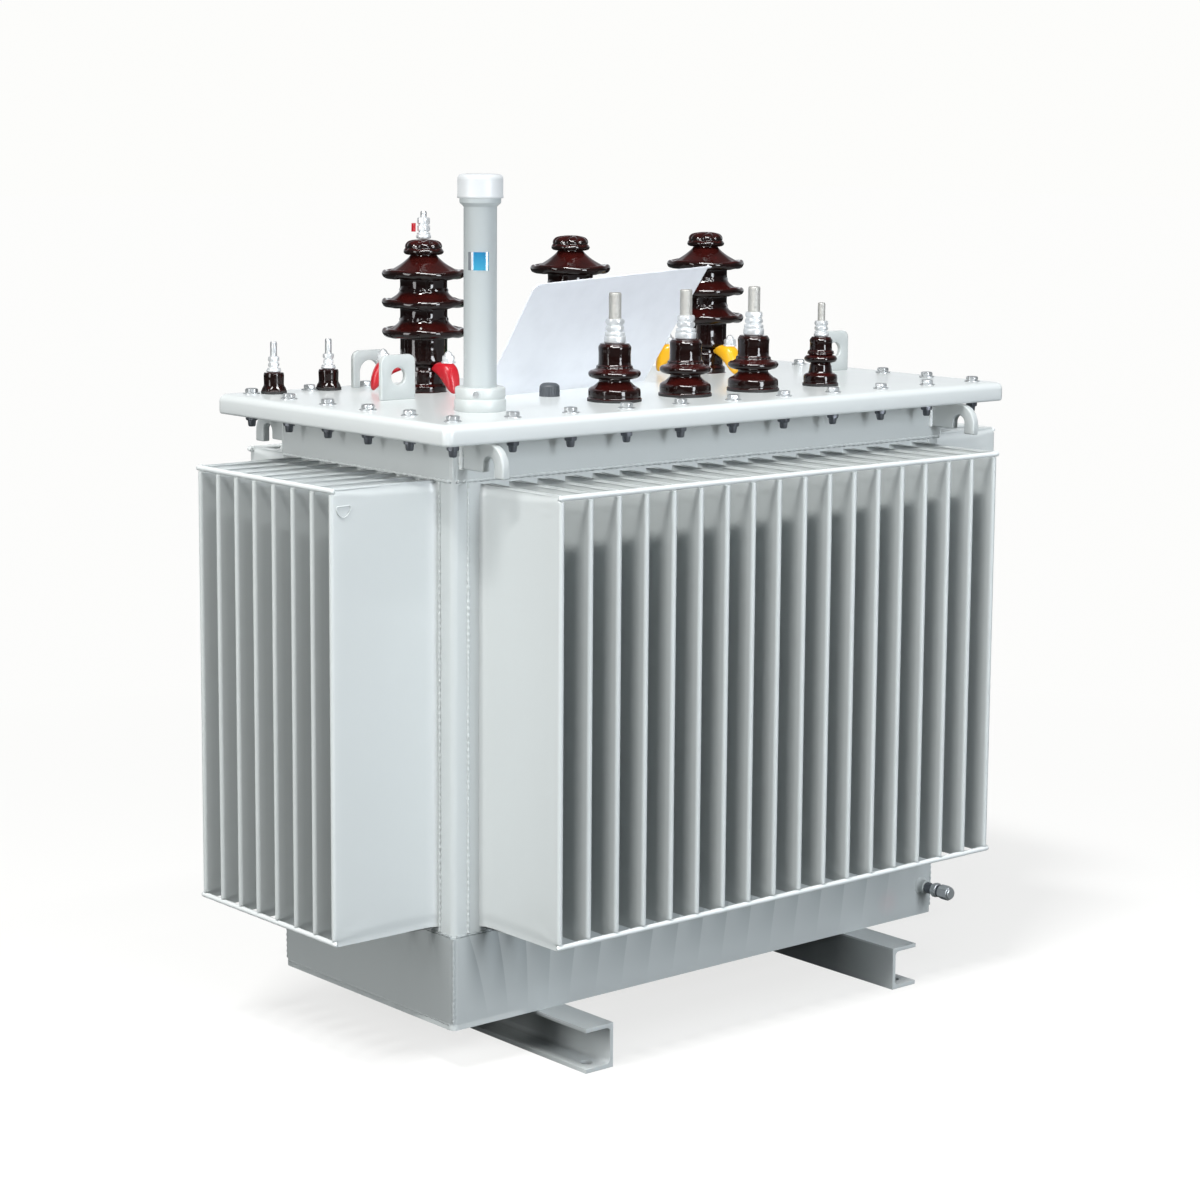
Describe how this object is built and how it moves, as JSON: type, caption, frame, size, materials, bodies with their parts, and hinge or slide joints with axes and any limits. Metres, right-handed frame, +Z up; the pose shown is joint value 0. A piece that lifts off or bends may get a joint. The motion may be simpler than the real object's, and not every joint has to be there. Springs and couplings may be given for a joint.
{
  "type": "power transformer",
  "caption": "Oil-filled distribution transformer with a corrugated finned tank, porcelain bushings, filler pipe and channel skids.",
  "frame": {"origin": "ground level under the middle of the tank, between the skids", "axes": "+X along the tank's long side, -Y towards the low-voltage side, +Z up"},
  "size_m": [1.307, 0.744, 1.2495],
  "materials": {
    "tank_paint": "semi-gloss light grey enamel",
    "cover_paint": "glossy off-white enamel",
    "seal_rubber": "matt black",
    "porcelain_glaze": "glossy dark brown glaze",
    "plated_steel": "zinc and tin plate",
    "red_paint": "gloss red",
    "green_paint": "gloss green",
    "yellow_paint": "gloss yellow",
    "pipe_paint": "semi-gloss light grey enamel",
    "white_plastic": "smooth white",
    "window_plastic": "clear blue",
    "dark_plastic": "dark grey",
    "holder_sheet": "satin white",
    "valve_steel": "darkened steel"
  },
  "bodies": {
    "root": {"aux_bushings": "porcelain_glaze", "aux_terminal_1": "plated_steel", "aux_terminal_2": "plated_steel", "bushing_seals": "seal_rubber", "corner_posts": "tank_paint", "corrugated_wall_front": "tank_paint", "corrugated_wall_left": "tank_paint", "corrugated_wall_rear": "tank_paint", "corrugated_wall_right": "tank_paint", "cover": "cover_paint", "cover_gasket": "seal_rubber", "cover_lifting_eyes": "cover_paint", "drain_valve": "valve_steel", "filler_cap": "white_plastic", "filler_collar": "cover_paint", "filler_pipe": "pipe_paint", "fin_rods_front": "cover_paint", "fin_rods_left": "cover_paint", "fin_rods_rear": "cover_paint", "fin_rods_right": "cover_paint", "handling_loop": "cover_paint", "hv_bushing_left": "porcelain_glaze", "hv_bushing_middle": "porcelain_glaze", "hv_bushing_right": "porcelain_glaze", "hv_clamp_green": "green_paint", "hv_clamp_red": "red_paint", "hv_clamp_yellow": "yellow_paint", "hv_terminal_left": "plated_steel", "level_window": "window_plastic", "lifting_hooks": "tank_paint", "lv_bushing_1": "porcelain_glaze", "lv_bushing_2": "porcelain_glaze", "lv_bushing_3": "porcelain_glaze", "lv_terminal_1": "plated_steel", "lv_terminal_2": "plated_steel", "lv_terminal_3": "plated_steel", "neutral_bushing": "porcelain_glaze", "neutral_terminal": "plated_steel", "plate_holder": "holder_sheet", "skid_left": "tank_paint", "skid_right": "tank_paint", "tank_flange": "tank_paint", "tank_floor": "tank_paint", "tank_skirt": "tank_paint", "thermometer_pocket": "dark_plastic", "upper_frame": "tank_paint"}
  },
  "joints": []
}
